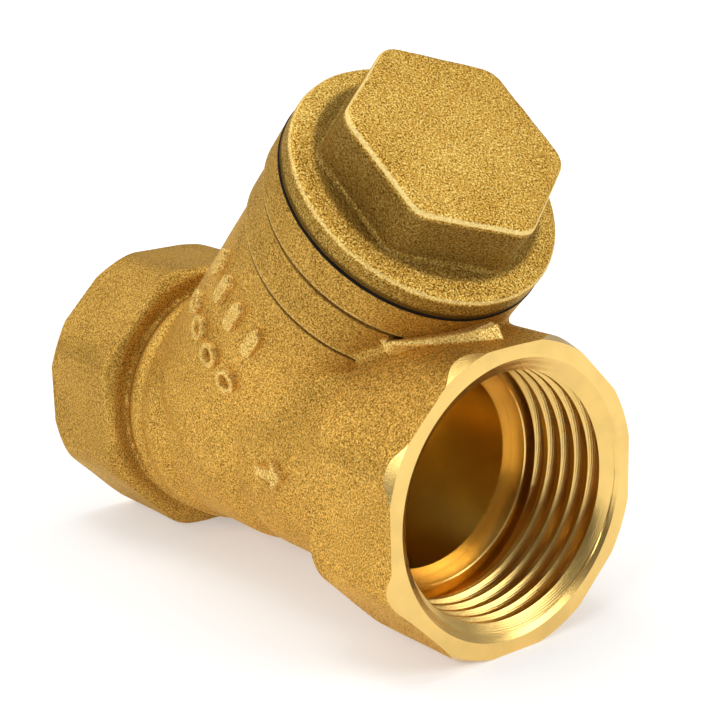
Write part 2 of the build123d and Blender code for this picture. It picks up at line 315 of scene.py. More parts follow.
def raised(outline, above):
    """A raised mark from its flat outline and the height above the casting: sloping sides, rounded rim."""
    sides = outline + MARK_DRAFT * above
    return np.maximum(keep(sides, above - MARK_HEIGHT, MARK_EDGE), -MARK_DEPTH - above)


def arrow_field(x, y, z):
    """A plain flow arrow on the front of the tube."""
    above = np.hypot(y, z) - neck_radius(ARROW_TIP)
    tail = np.maximum(np.abs(z) - ARROW_HALF_TAIL, ARROW_START - x)
    tail = np.maximum(tail, x - ARROW_HEAD - ARROW_OVERLAP)
    run = ARROW_TIP - ARROW_HEAD
    lean = math.hypot(run, ARROW_HALF_HEAD)
    edge = ((x - ARROW_HEAD) * ARROW_HALF_HEAD + (np.abs(z) - ARROW_HALF_HEAD) * run) / lean
    return raised(np.minimum(tail, np.maximum(edge, ARROW_HEAD - x)), above)


def marks_field(p, q, s):
    """Plain bars and hollow pips in two rows on the front of the barrel, in the branch's coordinates."""
    distance = np.hypot(p, q)
    radius = barrel_radius(MARK_ROWS[0])
    marks = []
    for angle in MARK_ANGLES:
        across = (np.arctan2(q, -p) - math.radians(angle)) * radius
        beyond = np.maximum(np.abs(s - MARK_ROWS[0]) - BAR_HALF_LENGTH, 0)
        marks.append(np.hypot(beyond, across) - BAR_RADIUS)
        pip = np.hypot(s - MARK_ROWS[1], across)
        marks.append(np.maximum(pip - PIP_RADIUS, PIP_HOLLOW - pip))
    return raised(np.minimum.reduce(marks), distance - radius)


def web_field(x, y, z):
    """The low ledge under the branch's collar, on top of the outlet grip: a sloping front and a flat top."""
    s, up = branch_coordinates(x, z)
    front = np.hypot(y, up) - WEB_RADIUS - WEB_SKEW * y
    web = keep(front, front + WEB_LEAN * (z - WEB_FOOT), WEB_FRONT_EDGE)
    web = keep(web, z - WEB_TOP - WEB_FALL * y, WEB_TOP_EDGE)
    web = np.maximum(web, np.maximum(WEB_START - s, WEB_FOOT - WEB_DEPTH - z))
    web = keep(web, np.maximum(y - WEB_RIGHT, WEB_LEFT - y), WEB_END_EDGE)
    return web + ripple(x, y, z, **WEB_RIPPLE)


def casting_field(x, y, z):
    """The whole outside of the valve body before machining."""
    s, up = branch_coordinates(x, z)
    run_distance = np.hypot(y, z)
    branch_distance = np.hypot(y, up)
    # Where a turned radius slopes, plain differences overstate the distance, so they are scaled down.
    run = (run_distance - neck_radius(x)) * SLOPE_SHARE
    run = np.maximum(run, np.maximum(NECK_INSET - x, x - RUN_LENGTH + NECK_INSET))
    casting = join(run, grip_field(x, y, z), INLET_FILLET)
    casting = join(casting, grip_field(RUN_LENGTH - x, y, z), OUTLET_FILLET)
    barrel = (branch_distance - barrel_radius(s)) * SLOPE_SHARE
    barrel = keep(barrel, BARREL_START - s, BARREL_FOOT)
    barrel = np.maximum(barrel, s - SEAT_FACE - RAW_STOCK)
    outlet_side = (np.clip((x - OUTLET_SIDE_START) / OUTLET_SIDE_LENGTH, 0, 1)
                   * np.clip((OUTLET_SIDE_TOP - z) / OUTLET_SIDE_HEIGHT, 0, 1))
    casting = join(casting, barrel, BARREL_FILLET + OUTLET_SIDE_FILLET * outlet_side)
    return casting + ripple(x, y, z, **BODY_RIPPLE)


def cap_field(p, q, s):
    """The cap's flange and hexagon before machining, in the branch's own coordinates."""
    distance = np.hypot(p, q)
    top = s - FLANGE_TOP + FLANGE_FALL * (distance - HEX_APOTHEM)
    flange = keep(distance - FLANGE_RADIUS, top, FLANGE_EDGE)
    flange = np.maximum(flange, FLANGE_UNDER - RAW_STOCK - s)
    turn = math.radians(HEX_TURN)
    sides = polygon(p, q, HEX_APOTHEM - HEX_ROUND, 6, turn) - HEX_ROUND
    hexagon = keep(sides, s - HEX_TOP, HEX_EDGE)
    hexagon = np.maximum(hexagon, FLANGE_UNDER - s)
    step = keep(sides - HEX_STEP, s - HEX_STEP_TOP, HEX_STEP_EDGE)
    step = np.maximum(step, FLANGE_UNDER - s)
    cap = join(flange, join(hexagon, step, HEX_STEP_FILLET), FLANGE_FILLET)
    return cap + ripple(p, q, s, **CAP_RIPPLE)


def surface(field, low, high, step):
    """The zero surface of a distance field as vertices and faces, drawn onto the exact surface."""
    axes = [np.arange(a - 2 * step, b + 3 * step, step) for a, b in zip(low, high)]
    x, y, z = np.meshgrid(*axes, indexing="ij", sparse=True)
    band = 3 * step
    values = np.clip(field(x, y, z), -band, band).astype(np.float32)
    grid = openvdb.FloatGrid(band)
    grid.copyFromArray(np.ascontiguousarray(values))
    points, quads = grid.convertToQuads(0.0)
    points = points.astype(float) * step + np.array([axis[0] for axis in axes])
    nudge = 0.01
    flattest_slope = 0.05
    longest_move = 0.4 * step
    for _ in range(3):
        value = field(*points.T)
        slope = np.stack([(field(*(points + offset).T) - field(*(points - offset).T)) / (2 * nudge)
                          for offset in np.eye(3) * nudge], axis=1)
        size = np.maximum((slope ** 2).sum(axis=1), flattest_slope)
        move = slope * (value / size)[:, None]
        length = np.maximum(np.linalg.norm(move, axis=1), 1e-9)
        points = points - move * np.minimum(1, longest_move / length)[:, None]
    return points, quads


# ======================================== meshes
def mesh_object(name, points, faces, material=0):
    mesh = bpy.data.meshes.new(name)
    mesh.from_pydata([tuple(point) for point in points], [], [tuple(face) for face in faces])
    for surface_material in SURFACES:
        mesh.materials.append(surface_material)
    mesh.polygons.foreach_set("material_index", np.full(len(mesh.polygons), material, np.int32))
    piece = bpy.data.objects.new(name, mesh)
    bpy.context.scene.collection.objects.link(piece)
    return piece


def outward(points, faces):
    """The faces turned so that they all face outwards, judged by the volume that they enclose."""
    corners = [np.asarray(points)[[face[i] for face in faces]] for i in range(3)]
    volume = np.einsum("ij,ij->", corners[0], np.cross(corners[1], corners[2]))
    if len(faces[0]) == 4:
        last = np.asarray(points)[[face[3] for face in faces]]
        volume += np.einsum("ij,ij->", corners[0], np.cross(corners[2], last))
    return [face[::-1] for face in faces] if volume < 0 else faces


def moved(points, place):
    """Points in a feature's own coordinates, taken to the model's frame."""
    matrix = np.array(place)
    return np.asarray(points) @ matrix[:3, :3].T + matrix[:3, 3]


def turned(name, outline, place, material=0, segments=180):
    """A solid of revolution from a closed outline of (radius, distance along the axis) points."""
    points = []
    rows = []
    angles = np.linspace(0, 2 * math.pi, segments, endpoint=False)
    for radius, along in outline:
        if radius == 0:
            rows.append([len(points)] * segments)
            points.append((0, 0, along))
        else:
            rows.append(range(len(points), len(points) + segments))
            points += [(radius * math.cos(a), radius * math.sin(a), along) for a in angles]
    faces = []
    for row, after in zip(rows, rows[1:] + rows[:1]):
        for i in range(segments):
            k = (i + 1) % segments
            corners = list(dict.fromkeys([row[i], row[k], after[k], after[i]]))
            if len(corners) > 2:
                faces.append(corners)
    triangles = []
    for face in faces:
        triangles.append(face[:3])
        if len(face) == 4:
            triangles.append([face[0], face[2], face[3]])
    points = moved(points, place)
    return mesh_object(name, points, outward(points, triangles), material)


def crease_tool(name, along, radius, place, reach):
    """A cutter for a V groove part of the way round: as far as the given angle below each side."""
    above = 0.8
    rows = 160
    rim = radius + above
    flare = CREASE_HALF_WIDTH / CREASE_DEPTH * (CREASE_DEPTH + above)
    section = [(radius - CREASE_DEPTH, along), (rim, along - flare), (rim, along + flare)]
    angles = np.radians(np.linspace(-reach, 180 + reach, rows))
    points = [(r * math.cos(a), r * math.sin(a), s) for a in angles for r, s in section]
    faces = [(0, 1, 2), tuple(len(points) - i for i in (1, 2, 3))]
    for row in range(len(angles) - 1):
        for i in range(3):
            a, b = 3 * row + i, 3 * row + (i + 1) % 3
            faces += [(a, b + 3, b), (a, a + 3, b + 3)]
    points = moved(points, place)
    return mesh_object(name, points, outward(points, faces))


def free_reach(along, radius):
    """How far below the branch's sides, in degrees, a circle round the branch stays clear of the casting."""
    count = 80
    angles = np.radians(np.arange(count))
    circle = np.stack([-radius * np.cos(angles), -radius * np.sin(angles), np.full(count, along)], axis=1)
    return float(np.argmax(casting_field(*moved(circle, BRANCH).T) < 0))


def thread_profile(minor, major, pitch):
    """One pitch of a rounded thread, as (distance along the axis, radius) points."""
    rising = [(0.0, 0.0), (0.12, 0.03), (0.18, 0.14), (0.39, 0.84), (0.44, 0.96), (0.5, 1.0)]
    falling = [(1 - share, height) for share, height in reversed(rising[1:-1])]
    return [(share * pitch, minor + height * (major - minor)) for share, height in rising + falling]


def threaded_rod(name, minor, major, pitch, start, end, place, material):
    """A closed right-hand threaded rod. Each turn's rows run on into the next turn's."""
    segments = 120
    profile = thread_profile(minor, major, pitch)
    turns = int(math.ceil((end - start) / pitch)) + 2
    rows = [(start - pitch + pitch * turn + along, radius)
            for turn in range(turns) for along, radius in profile]
    per_turn = len(profile)
    points = []
    for along, radius in rows:
        for i in range(segments):
            share = i / segments
            angle = 2 * math.pi * share
            points.append((radius * math.cos(angle), radius * math.sin(angle), along + pitch * share))

    def corner(row, i):
        if i == segments:
            return (row + per_turn) * segments
        return row * segments + i

    triangles = []
    for row in range(len(rows) - 1):
        for i in range(segments):
            if i == segments - 1 and row + 1 + per_turn >= len(rows):
                continue
            a, b, c, d = corner(row, i), corner(row, i + 1), corner(row + 1, i + 1), corner(row + 1, i)
            triangles += [(a, b, c), (a, c, d)]
    low = len(points)
    points.append((0, 0, start - 2 * pitch))
    high = len(points)
    points.append((0, 0, rows[-1][0] + 2 * pitch))
    top = len(rows) - 1
    first = [corner(0, i) for i in range(segments)]
    first += [corner(row, 0) for row in range(per_turn, 0, -1)]
    last = [corner(top, i) for i in range(segments)]
    last += [corner(row, segments - 1) for row in range(top - 1, top - per_turn - 1, -1)]
    triangles += [(b, a, low) for a, b in zip(first, first[1:] + first[:1])]
    triangles += [(a, b, high) for a, b in zip(last, last[1:] + last[:1])]
    points = moved(points, place)
    return mesh_object(name, points, triangles, material)


def combine(piece, tool, operation):
    """Cuts, adds or keeps the tool's shape, and takes the tool away."""
    modifier = piece.modifiers.new(operation.lower(), "BOOLEAN")
    modifier.operation = operation
    modifier.solver = "MANIFOLD"
    modifier.object = tool
    bpy.context.view_layer.update()
    evaluated = piece.evaluated_get(bpy.context.evaluated_depsgraph_get())
    mesh = bpy.data.meshes.new_from_object(evaluated)
    piece.modifiers.clear()
    piece.data = mesh
    bpy.data.objects.remove(tool)
    if not len(mesh.polygons):
        raise ValueError(f"{operation} left nothing of {piece.name}")
    return piece


def cylinder(name, radius, low, high, place, material, segments=180):
    """A plain cylinder round a feature's axis, from one distance along it to another."""
    return turned(name, [(0, low), (radius, low), (radius, high), (0, high)], place, material, segments)


def slab(name, low, high, place, material):
    """A block wider than the part, square to a feature's axis."""
    return cylinder(name, 4 * APOTHEM, low, high, place, material, 24)


def forged(name, field, low, high, step, material, place=None):
    """The mesh of a distance field between two corners, in the model's frame or a feature's coordinates."""
    points, quads = surface(field, low, high, step)
    if place is not None:
        points = moved(points, place)
    return mesh_object(name, points, outward(points, quads.tolist()), material)


def make_piece(piece, name, body, replaced, material=None, sharp=32):
    """Finishes a piece: metres, clean normals, sharp machined edges, materials and its place in the frame."""
    piece.name = name
    mesh = piece.data
    mesh.name = name
    mesh.transform(Matrix.Scale(MM, 4))
    material_of = np.zeros(len(mesh.polygons), np.int32)
    mesh.polygons.foreach_get("material_index", material_of)
    used = [material] if material else [SURFACES[i] for i in np.unique(material_of)]
    material_of = np.zeros_like(material_of) if material else np.unique(material_of, return_inverse=True)[1]
    mesh.materials.clear()
    for surface_material in used:
        mesh.materials.append(surface_material)
    mesh.polygons.foreach_set("material_index", material_of.astype(np.int32))
    mesh.shade_smooth()
    mesh.set_sharp_from_angle(angle=math.radians(sharp))
    if material_of.min() != material_of.max():
        owners = {}
        for polygon_index, part in enumerate(mesh.polygons):
            for key in part.edge_keys:
                owners.setdefault(key, []).append(polygon_index)
        for edge in mesh.edges:
            both = owners[edge.key]
            if len(both) == 2 and material_of[both[0]] != material_of[both[1]]:
                edge.use_edge_sharp = True
    mesh.update()
    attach(piece, body)
    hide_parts(*replaced)


# ======================================== materials
class Nodes:
    """Short ways to add shader nodes to one material."""

    def __init__(self, name):
        self.material = bpy.data.materials.new(name)
        self.material.use_nodes = True
        self.tree = self.material.node_tree
        self.shader = self.tree.nodes["Principled BSDF"]
        coordinates = self.tree.nodes.new("ShaderNodeTexCoord")
        self.place = coordinates.outputs["Object"]

    def link(self, source, target):
        self.tree.links.new(source, target)

    def noise(self, size, detail=2.0, roughness=0.5, place=None):
        """Noise whose lumps are about that many millimetres across."""
        node = self.tree.nodes.new("ShaderNodeTexNoise")
        node.inputs["Scale"].default_value = 1 / (size * MM)
        node.inputs["Detail"].default_value = detail
        node.inputs["Roughness"].default_value = roughness
        self.link(place or self.place, node.inputs["Vector"])
        return node.outputs["Fac"]

    def math(self, operation, a, b=0.0):
        node = self.tree.nodes.new("ShaderNodeMath")
        node.operation = operation
        for socket, value in zip(node.inputs, (a, b)):
            if isinstance(value, bpy.types.NodeSocket):
                self.link(value, socket)
            else:
                socket.default_value = value
        return node.outputs[0]

    def weighted(self, a, a_share, b, b_share):
        """The sum of two values, each times its share."""
        return self.math("ADD", self.math("MULTIPLY", a, a_share), self.math("MULTIPLY", b, b_share))

    def spread(self, value, low, high, to_low, to_high):
        """A value's range from low to high, mapped to another range and held at its ends."""
        node = self.tree.nodes.new("ShaderNodeMapRange")
        for index, number in enumerate((low, high, to_low, to_high), 1):
            node.inputs[index].default_value = number
        self.link(value, node.inputs[0])
        return node.outputs[0]

    def ramp(self, value, *stops):
        node = self.tree.nodes.new("ShaderNodeValToRGB")
        while len(node.color_ramp.elements) < len(stops):
            node.color_ramp.elements.new(0.5)
        for element, (position, colour) in zip(node.color_ramp.elements, stops):
            element.position = position
            element.color = (*colour, 1)
        self.link(value, node.inputs[0])
        return node.outputs[0]

    def bump(self, height, depth):
        """Bump whose heights are that many millimetres."""
        node = self.tree.nodes.new("ShaderNodeBump")
        node.inputs["Distance"].default_value = depth * MM
        node.inputs["Strength"].default_value = 1.0
        self.link(height, node.inputs["Height"])
        return node.outputs["Normal"]

    def mix(self, share, a, b):
        node = self.tree.nodes.new("ShaderNodeMix")
        node.data_type = "RGBA"
        for socket, value in ((node.inputs[0], share), (node.inputs[6], a), (node.inputs[7], b)):
            if isinstance(value, bpy.types.NodeSocket):
                self.link(value, socket)
            elif isinstance(value, tuple):
                socket.default_value = (*value, 1)
            else:
                socket.default_value = value
        return node.outputs[2]

    def about_axis(self, place):
        """Distance from a feature's axis and distance along it, in millimetres."""
        turn = place.inverted()
        mapping = self.tree.nodes.new("ShaderNodeMapping")
        mapping.inputs["Location"].default_value = turn.translation
        mapping.inputs["Rotation"].default_value = turn.to_euler("XYZ")
        mapping.inputs["Scale"].default_value = (1 / MM, 1 / MM, 1 / MM)
        self.link(self.place, mapping.inputs["Vector"])
        split = self.tree.nodes.new("ShaderNodeSeparateXYZ")
        self.link(mapping.outputs[0], split.inputs[0])
        squares = self.math("ADD", self.math("MULTIPLY", split.outputs[0], split.outputs[0]),
                            self.math("MULTIPLY", split.outputs[1], split.outputs[1]))
        return self.math("SQRT", squares), split.outputs[2]

    def finish(self, colour, roughness, normal=None, metallic=1.0):
        inputs = self.shader.inputs
        for socket, value in ((inputs["Base Color"], colour), (inputs["Roughness"], roughness)):
            if isinstance(value, bpy.types.NodeSocket):
                self.link(value, socket)
            elif isinstance(value, tuple):
                socket.default_value = (*value, 1)
            else:
                socket.default_value = value
        inputs["Metallic"].default_value = metallic
        if normal:
            self.link(normal, inputs["Normal"])
        return self.material


# Most of a noise texture's values lie in this range.
NOISE_RANGE = (0.3, 0.7)
CAST_ROUGHNESS = (0.64, 0.44)
CAST_METALLIC = 0.86
CAST_SPECULAR = 0.2
CAST_SPECULAR_TINT = (1.0, 0.86, 0.6, 1.0)
TOOL_RINGS = 42.0
TOOL_WOBBLE = 0.05
RUBBER_SPECULAR = 0.08


def blasted_brass(name, tones, grain, depth, painted_light=()):
    """Forged brass after shot blasting: fine grains in three tones, soft patches, and zones of painted shade and
    painted highlight.
    """
    n = Nodes(name)
    coarser = 2.6
    fine = n.noise(grain, detail=1.0)
    coarse = n.noise(grain * coarser, roughness=0.6)
    height = n.weighted(fine, 0.9, coarse, 0.7)
    patch = n.noise(7.0, 3.0)
    tone = n.weighted(fine, 0.85, patch, 0.15)
    dark, middle, light = tones
    colour = n.ramp(tone, (0.37, dark), (0.46, middle), (0.53, middle), (0.63, light))
    # Each zone mixes painted shade or a painted highlight into the colour.
    for place, low, high, inner, outer, softness, strength, tint in painted_light:
        mask = zone_mask(n, place, (low, high), (inner, outer), softness, strength)
        colour = n.mix(mask, colour, tint)
    roughness = n.spread(fine, *NOISE_RANGE, *CAST_ROUGHNESS)
    n.shader.inputs["Specular IOR Level"].default_value = CAST_SPECULAR
    n.shader.inputs["Specular Tint"].default_value = CAST_SPECULAR_TINT
    return n.finish(colour, roughness, n.bump(height, depth), CAST_METALLIC)


def zone_mask(n, place, along_range, distance_range, softness, strength):
    """Up to the given strength inside ranges of distance along a feature's axis and from the axis."""
    distance, along = n.about_axis(place)
    mask = strength
    for value, (low, high) in ((along, along_range), (distance, distance_range)):
        mask = n.math("MULTIPLY", n.spread(value, low - softness, low, 0, 1), mask)
        mask = n.math("MULTIPLY", n.spread(value, high, high + softness, 1, 0), mask)
    return mask


def turned_brass(name, place, light, roughness):
    """Brass cut on a lathe: fine rings round the tool's axis on faces and along bores, and a speckle."""
    n = Nodes(name)
    distance, along = n.about_axis(place)
    feed = n.math("ADD", distance, along)
    uneven_feed = n.math("ADD", feed, n.math("MULTIPLY", n.noise(3.0, 2.0), TOOL_WOBBLE))
    rings = n.math("SINE", n.math("MULTIPLY", uneven_feed, TOOL_RINGS))
    # The feed is in millimetres already, so this size makes a speckle far finer than the rings.
    stretched = n.tree.nodes.new("ShaderNodeCombineXYZ")
    n.link(feed, stretched.inputs[0])
    speckle = n.noise(0.00018 / MM, 2.0, 0.6, stretched.outputs[0])
    height = n.math("ADD", n.math("MULTIPLY", rings, 0.3), speckle)
    shade = n.weighted(n.noise(5.0, 3.0), 0.6, speckle, 0.4)
    colour = n.ramp(shade, (0.40, tuple(0.86 * c for c in light)), (0.60, light))
    rough = n.spread(speckle, *NOISE_RANGE, roughness - 0.05, roughness + 0.06)
    return n.finish(colour, rough, n.bump(height, 0.010))


def gasket_rubber():
    """Matt black rubber with a faint mottle."""
    n = Nodes("gasket_rubber")
    height = n.noise(0.25, 3.0)
    colour = n.ramp(n.noise(2.0), (0.3, (0.006, 0.004, 0.002)), (0.7, (0.013, 0.010, 0.006)))
    n.shader.inputs["Specular IOR Level"].default_value = RUBBER_SPECULAR
    return n.finish(colour, n.spread(height, *NOISE_RANGE, 0.6, 0.8), n.bump(height, 0.02), 0.0)


def steel(name, tone, roughness):
    """Satin stainless steel: a fine grain and soft patches."""
    n = Nodes(name)
    grain = n.noise(0.15, 3.0, 0.6)
    patch = n.noise(4.0, 2.0)
    low, high = NOISE_RANGE
    colour = n.ramp(patch, (low, tuple(0.9 * c for c in tone)), (high, tone))
    rough = n.spread(grain, low, high, roughness - 0.06, roughness + 0.08)
    return n.finish(colour, rough, n.bump(grain, 0.01))


# Painted shade: a dark brown mixed into the brass in creases, beside edges, on sides turned from the light, under
# the flange and where the light falls off.
PAINTED_SHADE = (0.10, 0.05, 0.008)
# Painted highlight: a pale gold mixed into the brass along edges that catch the light.
PAINTED_HIGHLIGHT = (1.0, 0.80, 0.34)
# Painted light on the brass, as painted shade and painted highlights. Each zone: axis, from, to, inner and outer
# radius, softness of its limits, strength, colour.
# Painted shade in the two creases round the branch, and a painted highlight on the rim just above each.
CAST_PAINTED_LIGHT = [(BRANCH, 34.7, 35.4, 15, 17.2, 0.2, 0.62, PAINTED_SHADE),
              (BRANCH, 41.55, 42.25, 16, 17.7, 0.2, 0.62, PAINTED_SHADE),
              (BRANCH, 35.75, 35.90, 16.8, 17.2, 0.15, 0.22, PAINTED_HIGHLIGHT),
              (BRANCH, 42.60, 42.75, 17.35, 17.7, 0.15, 0.22, PAINTED_HIGHLIGHT),
              # Painted shade: a dark line beside the inlet grip's inner end.
              (INLET, 16.9, 17.2, 15, 18.0, 0.2, 0.7, PAINTED_SHADE),
              # Painted shade: the casting darker towards the inlet end, where the light falls off.
              (INLET, -5.0, 14.0, 0, 30, 6.0, 0.24, PAINTED_SHADE)]
# Painted shade: the branch a little darker towards its top, where the light falls off.
CAST_PAINTED_LIGHT += [(BRANCH, start, 60.0, 0, 17.7, 2.0, 0.09, PAINTED_SHADE) for start in (27.0, 32.0, 37.0)]
# Painted shade on the hexagon's sides and round its base.
CAP_PAINTED_LIGHT = [(BRANCH, 50.6, 57.0, 0, 14.3, 0.7, 0.7, PAINTED_SHADE),
             # Painted shade on the flange's side, and a painted shadow along its lower edge over the gasket.
             (BRANCH, 47.0, 49.6, 17, 19, 0.3, 0.5, PAINTED_SHADE),
             (BRANCH, 47.0, 47.75, 17, 19, 0.45, 0.9, PAINTED_SHADE),
             # Painted highlights along the hexagon's top edge and the flange's top edge.
             (BRANCH, 57.65, 58.0, 0, 16, 0.12, 0.7, PAINTED_HIGHLIGHT),
             (BRANCH, 49.95, 50.15, 17, 19, 0.1, 0.5, PAINTED_HIGHLIGHT)]
CAST_TONES = [(0.27, 0.140, 0.022), (0.60, 0.345, 0.064), (0.92, 0.56, 0.13)]
CAP_TONES = [(0.24, 0.122, 0.014), (0.69, 0.395, 0.066), (1.0, 0.78, 0.24)]
MARK_TONES = [(0.40, 0.24, 0.05), (0.76, 0.49, 0.13), (1.0, 0.75, 0.27)]
cast = blasted_brass("cast_brass", CAST_TONES, grain=0.21, depth=0.05, painted_light=CAST_PAINTED_LIGHT)
cap_cast = blasted_brass("cap_brass", CAP_TONES, grain=0.22, depth=0.13, painted_light=CAP_PAINTED_LIGHT)
mark_brass = blasted_brass("mark_brass", MARK_TONES, grain=0.21, depth=0.05)
port_brass = turned_brass("port_turned_brass", OUTLET, (0.91, 0.61, 0.195), roughness=0.16)
branch_brass = turned_brass("branch_turned_brass", BRANCH, (0.88, 0.60, 0.20), roughness=0.27)
chamber_brass = turned_brass("chamber_brass", BRANCH, (0.95, 0.62, 0.13), roughness=0.20)
SURFACES = [cast, cap_cast, mark_brass, port_brass, branch_brass, chamber_brass]
CAST, CAP_CAST, MARK_CAST, PORT_CUT, BRANCH_CUT, CHAMBER_CUT = range(len(SURFACES))
rubber = gasket_rubber()
sheet_steel = steel("sheet_steel", (0.62, 0.61, 0.58), roughness=0.32)
wire_steel = steel("wire_steel", (0.55, 0.54, 0.52), roughness=0.36)


# ======================================== valve body
# Thread rods are cut to length by a cylinder wider than they are.
ROD_LIMIT_RADIUS = 18.0


def port_tool(name, place):
    """What the lathe takes from one port: its face, the skim over the corners, mouth, thread and ring."""
    above = -3.0
    clear = 24.0
    outer = FACE_RADIUS + SKIM_WIDTH
    skim_end = (outer - FACE_RADIUS) / SKIM_SLOPE
    outline = [(0, above), (clear, above), (clear, skim_end), (outer, skim_end),
               (FACE_RADIUS, 0), (MOUTH_RADIUS, 0), (PORT_MINOR, MOUTH_DEPTH),
               (PORT_MINOR, PORT_THREAD_END - PORT_THREAD_FADE), (PORT_RELIEF_RADIUS, PORT_THREAD_END),
               (PORT_RELIEF_RADIUS, PORT_RELIEF_END), (PORT_RING_RADIUS + PORT_RING_EDGE, PORT_RELIEF_END),
               (PORT_RING_RADIUS, PORT_RELIEF_END + PORT_RING_EDGE), (PORT_RING_RADIUS, PORT_RING_END),
               (0, PORT_RING_END)]
    tool = turned(name, outline, place, PORT_CUT)
    rod_start = -2.0
    rod = threaded_rod(name + "_rod", PORT_MINOR - PORT_ROD_OVERLAP, PORT_MAJOR, PORT_PITCH, rod_start,
                       PORT_THREAD_END, place, PORT_CUT)
    low, high = rod_start + 0.5, PORT_THREAD_END - 0.05
    limit = cylinder(name + "_limit", ROD_LIMIT_RADIUS, low, high, place, PORT_CUT)
    combine(rod, limit, "INTERSECT")
    return combine(tool, rod, "UNION")


def branch_tool():
    """What the lathe takes from the branch: sealing face, cap thread, relief, chamber and screen seat."""
    clear = 18.6
    end = 60.0
    rim = SEAT_FACE - SEAT_RIM_EDGE
    outline = [(0, OPENING_START), (OPENING_RADIUS, OPENING_START), (OPENING_RADIUS, FOOT_SEAT),
               (FOOT_RADIUS, FOOT_SEAT), (FOOT_RADIUS, WALL_TOP), (CHAMBER_RADIUS, WALL_TOP),
               (CHAMBER_RADIUS, CHAMBER_END), (CAP_RELIEF_RADIUS, CHAMBER_END),
               (CAP_RELIEF_RADIUS, CAP_RELIEF_END), (CAP_MINOR, CAP_RELIEF_END), (CAP_MINOR, CAP_MOUTH_START),
               (CAP_MOUTH_RADIUS, SEAT_FACE), (SEAT_RIM_RADIUS, SEAT_FACE),
               (SEAT_RIM_RADIUS + SEAT_RIM_EDGE, rim), (clear, rim), (clear, end), (0, end)]
    tool = turned("branch_tool", outline, BRANCH, BRANCH_CUT)
    rod = threaded_rod("branch_rod", CAP_MINOR - CAP_ROD_OVERLAP, CAP_MAJOR + CAP_CLEARANCE, CAP_PITCH,
                       CAP_THREAD_START, SEAT_FACE + 0.5, BRANCH, BRANCH_CUT)
    limit = cylinder("branch_limit", ROD_LIMIT_RADIUS, CAP_THREAD_START, SEAT_FACE, BRANCH, BRANCH_CUT)
    combine(rod, limit, "INTERSECT")
    return combine(tool, rod, "UNION")


def passages():
    """The two passages: under the sloping wall from the inlet, and from the chamber to the outlet."""
    far = 120.0
    under = cylinder("inlet_passage", INLET_PASSAGE_RADIUS, PASSAGE_START, INLET_PASSAGE_END, INLET,
                     CHAMBER_CUT)
    combine(under, slab("under_wall", -far, WALL_UNDER, BRANCH, CHAMBER_CUT), "INTERSECT")
    over = cylinder("outlet_passage", OUTLET_PASSAGE_RADIUS, PASSAGE_START, OUTLET_PASSAGE_END, OUTLET,
                    CHAMBER_CUT)
    combine(over, slab("over_wall", WALL_TOP, far + 10, BRANCH, CHAMBER_CUT), "INTERSECT")
    return under, over


def add_marks(body):
    """Joins the raised bars, pips, flow arrow and ledge to the casting, at a finer grid than its own.

    Each grid's corners leave a little room round its shape."""
    radius = barrel_radius(MARK_ROWS[0]) + MARK_HEIGHT
    low = (-radius - 0.2, -0.45 * radius, MARK_ROWS[1] - 3)
    high = (-0.6 * radius, 0.75 * radius, MARK_ROWS[0] + 3.4)
    combine(body, forged("marks", marks_field, low, high, MARK_STEP, MARK_CAST, BRANCH), "UNION")
    radius = neck_radius(ARROW_TIP) + MARK_HEIGHT
    low = (ARROW_START - 1, -radius - 0.2, -ARROW_HALF_HEAD - 1)
    high = (ARROW_TIP + 1, -radius + 3, ARROW_HALF_HEAD + 1)
    combine(body, forged("arrow", arrow_field, low, high, MARK_STEP, MARK_CAST), "UNION")
    low = (WEB_FOOT + CROSSING + 15, WEB_LEFT - 0.5, WEB_FOOT - WEB_DEPTH - 0.5)
    high = (RUN_LENGTH - 1, WEB_RIGHT + 0.5, WEB_TOP + 1)
    combine(body, forged("web", web_field, low, high, MARK_STEP, MARK_CAST), "UNION")


def make_body():
    """The forging with its marks and creases, and then what the tools take from it."""
    side = APOTHEM + 1.2
    low = (-RAW_STOCK, -side, -side)
    high = (RUN_LENGTH + RAW_STOCK, side, body_high.z / MM + 1.5)
    body = forged("body_casting", casting_field, low, high, GRID_STEP, CAST)
    add_marks(body)
    for index, (along, radius) in enumerate(CREASES):
        reach = free_reach(along, radius + CREASE_STOP)
        combine(body, crease_tool(f"crease_{index}", along, radius, BRANCH, reach), "DIFFERENCE")
    ports = [port_tool("inlet_tool", INLET), port_tool("outlet_tool", OUTLET)]
    for tool in (*ports, branch_tool(), *passages()):
        combine(body, tool, "DIFFERENCE")
    make_piece(body, "body_casting", "body", ["valve_body"])


